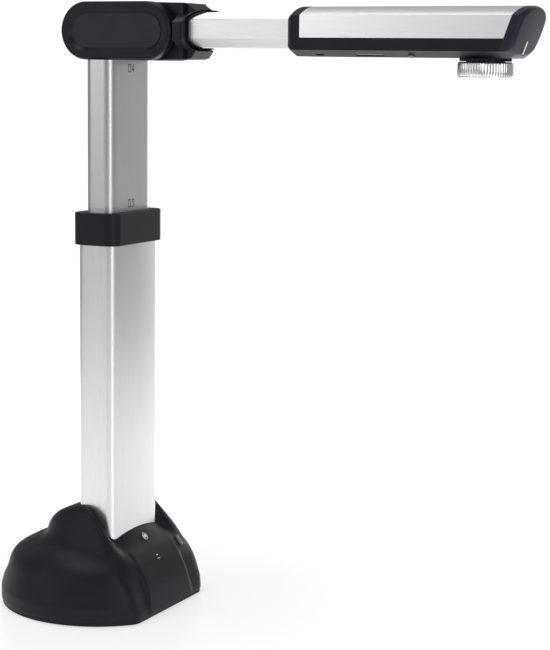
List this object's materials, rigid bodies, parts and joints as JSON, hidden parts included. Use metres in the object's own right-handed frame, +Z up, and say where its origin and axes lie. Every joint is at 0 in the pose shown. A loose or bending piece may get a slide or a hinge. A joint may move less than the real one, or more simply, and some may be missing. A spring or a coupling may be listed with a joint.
{
  "type": "document camera",
  "caption": "Desktop document camera: weighted round base, telescoping column, pivoting telescoping arm and camera head with a knurled focus ring.",
  "frame": {"origin": "on the desk, on the underside of the rubber pad, under the axis of the column", "axes": "+Z up along the column, +X from the column towards the camera head, +Y across, to the left of the head as seen from the column"},
  "size_m": [0.347, 0.13, 0.38],
  "materials": {
    "black_plastic": "fine moulded grain, bluish black",
    "panel_plastic": "satin moulded, slightly lighter than the housings",
    "rubber": "matt anti-slip sheet",
    "cast_iron": "painted casting",
    "die_cast": "bead-blasted die casting",
    "steel": "zinc plated",
    "brushed_aluminium": "satin anodised, brushed along its length",
    "bright_ring": "bright knurled",
    "bearing_plastic": "natural acetal",
    "circuit_board": "green solder mask",
    "clear_plastic": "frosted clear",
    "lens_glass": "coated lens glass",
    "white_mark": "white inlay",
    "key_plastic": "light grey key",
    "button_plastic": "dark grey"
  },
  "bodies": {
    "base": {"ballast_plate": "cast_iron", "base_cover": "black_plastic", "base_plate": "black_plastic", "base_screws": "steel", "board_standoffs": "steel", "clamp_screws": "steel", "collar_bush": "bearing_plastic", "column_collar": "black_plastic", "column_socket": "die_cast", "front_board": "circuit_board", "indicator_pipes": "clear_plastic", "main_board": "circuit_board", "outer_column": "brushed_aluminium", "rubber_pad": "rubber", "usb_port": "steel"},
    "column": {"inner_column": "brushed_aluminium", "column_shoe": "bearing_plastic", "pivot_core": "black_plastic", "cheek_near": "black_plastic", "cheek_far": "black_plastic", "panel_near": "panel_plastic", "panel_far": "panel_plastic", "cheek_screws": "steel", "hinge_shaft": "steel", "hinge_nut": "steel", "friction_washers": "bearing_plastic"},
    "arm": {"arm_knuckle": "black_plastic", "arm_sleeve": "black_plastic", "arm_tube": "brushed_aluminium", "arm_stop": "bearing_plastic"},
    "camera_head": {"camera_shell": "brushed_aluminium", "camera_tray": "black_plastic", "tube_guide": "bearing_plastic", "nose_cap": "panel_plastic", "aim_bar": "white_mark", "lens_base": "black_plastic", "sensor_holder": "black_plastic", "sensor_board": "circuit_board", "sensor_screws": "steel", "light_window": "clear_plastic", "light_board": "circuit_board"},
    "focus": {"focus_ring": "bright_ring"},
    "lens": {"lens_barrel": "black_plastic", "front_lens": "lens_glass", "rear_lens": "lens_glass"},
    "button": {"light_button": "button_plastic"},
    "key": {"power_key": "key_plastic"}
  },
  "joints": [
    {"name": "column_slide", "type": "slide", "parent": "base", "child": "column", "axis": [0, 0, 1], "range_m": [-0.085, 0]},
    {"name": "arm_fold", "type": "hinge", "parent": "column", "child": "arm", "pos_m": [0.0322, 0, 0.3625], "axis": [0, 1, 0], "range_deg": [0, 85]},
    {"name": "head_slide", "type": "slide", "parent": "arm", "child": "camera_head", "axis": [1, 0, 0], "range_m": [-0.045, 0]},
    {"name": "focus_turn", "type": "hinge", "parent": "camera_head", "child": "focus", "pos_m": [0.24, 0, 0.342], "axis": [0, 0, 1], "range_deg": [-120, 120]},
    {"name": "lens_focus", "type": "slide", "parent": "camera_head", "child": "lens", "axis": [0, 0, 1], "range_m": [-0.0007, 0.0007]},
    {"name": "light_press", "type": "slide", "parent": "camera_head", "child": "button", "axis": [0, 0.3544, 0.9351], "range_m": [0, 0.0005], "stiffness_N_per_m": 600},
    {"name": "power_press", "type": "slide", "parent": "base", "child": "key", "axis": [-0.7809, 0, -0.6247], "range_m": [0, 0.0006], "stiffness_N_per_m": 600}
  ],
  "couplings": [
    {"joint": "lens_focus", "follows": "focus_turn", "m_per_rad": 0.00028}
  ]
}
